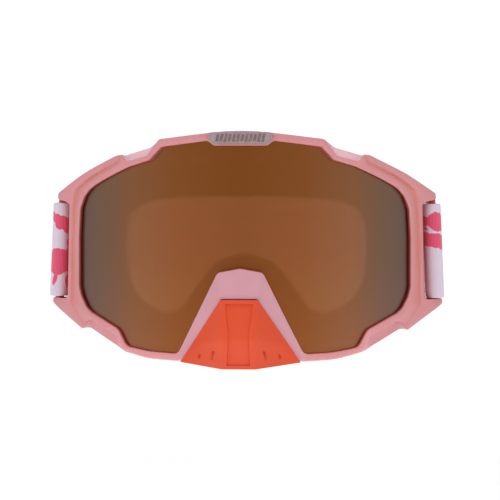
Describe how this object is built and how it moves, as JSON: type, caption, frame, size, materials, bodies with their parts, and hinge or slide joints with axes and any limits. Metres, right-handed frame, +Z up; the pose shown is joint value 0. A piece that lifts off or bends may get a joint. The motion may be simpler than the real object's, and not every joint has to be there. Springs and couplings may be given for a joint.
{
  "type": "ski goggles",
  "caption": "Ski goggles: double curved lens in a soft frame, layered face foam, removable nose guard and an elastic strap with sliders.",
  "frame": {"origin": "middle of the face opening, 8 mm in front of it the flat brow of the fleece that rests on the wearer", "axes": "+X to the wearer's left, +Y back towards the wearer, +Z up; the goggles look along -Y"},
  "size_m": [0.1826, 0.2154, 0.1005],
  "materials": {
    "frame_pink": "satin moulded TPU",
    "guard_coral": "satin moulded TPU",
    "lens_brown": "polished tinted polycarbonate",
    "lens_clear": "polished clear sheet",
    "gasket_foam": "matt closed-cell foam",
    "vent_foam": "matt open-cell foam",
    "face_foam": "matt foam",
    "fleece": "brushed microfleece",
    "badge_metal": "glitter-cast",
    "webbing": "ribbed elastic, printed",
    "slider_plastic": "satin acetal",
    "silicone": "soft silicone"
  },
  "bodies": {
    "frame": {"front_shell": "frame_pink", "face_chassis": "frame_pink", "outer_lens": "lens_brown", "lens_gasket": "gasket_foam", "inner_lens": "lens_clear", "brow_badge": "badge_metal", "top_vent_foam": "vent_foam", "lower_vent_foam_left": "vent_foam", "lower_vent_foam_right": "vent_foam", "face_foam_firm": "face_foam", "face_foam_soft": "face_foam", "face_fleece": "fleece"},
    "nose_guard": {"nose_guard": "guard_coral"},
    "side_strap_left": {"side_strap_left": "webbing"},
    "slider_left": {"strap_slider_left": "slider_plastic"},
    "rear_strap": {"rear_strap": "webbing", "grip_bead_upper": "silicone", "grip_bead_middle": "silicone", "grip_bead_lower": "silicone"},
    "side_strap_right": {"side_strap_right": "webbing"},
    "slider_right": {"strap_slider_right": "slider_plastic"}
  },
  "joints": [
    {"name": "nose_guard_pull", "type": "slide", "parent": "frame", "child": "nose_guard", "axis": [0, -1, 0], "range_m": [0, 0.03]},
    {"name": "strap_swing", "type": "hinge", "parent": "frame", "child": "side_strap_left", "pos_m": [0.086, 0.0015, 0], "axis": [0, 0, 1], "range_deg": [-9, 9]},
    {"name": "strap_bend_left", "type": "hinge", "parent": "side_strap_left", "child": "rear_strap", "pos_m": [0.086, 0.096, 0], "axis": [0, 0, 1], "range_deg": [-9, 9]},
    {"name": "strap_bend_right", "type": "hinge", "parent": "rear_strap", "child": "side_strap_right", "pos_m": [-0.086, 0.096, 0], "axis": [0, 0, 1], "range_deg": [-9, 9]},
    {"name": "slider_left_slide", "type": "slide", "parent": "side_strap_left", "child": "slider_left", "axis": [0, 1, 0], "range_m": [-0.012, 0.012]},
    {"name": "slider_right_slide", "type": "slide", "parent": "side_strap_right", "child": "slider_right", "axis": [0, 1, 0], "range_m": [-0.012, 0.012]}
  ],
  "couplings": [
    {"joint": "strap_bend_left", "follows": "strap_swing", "ratio": -1},
    {"joint": "strap_bend_right", "follows": "strap_swing", "ratio": 1}
  ]
}
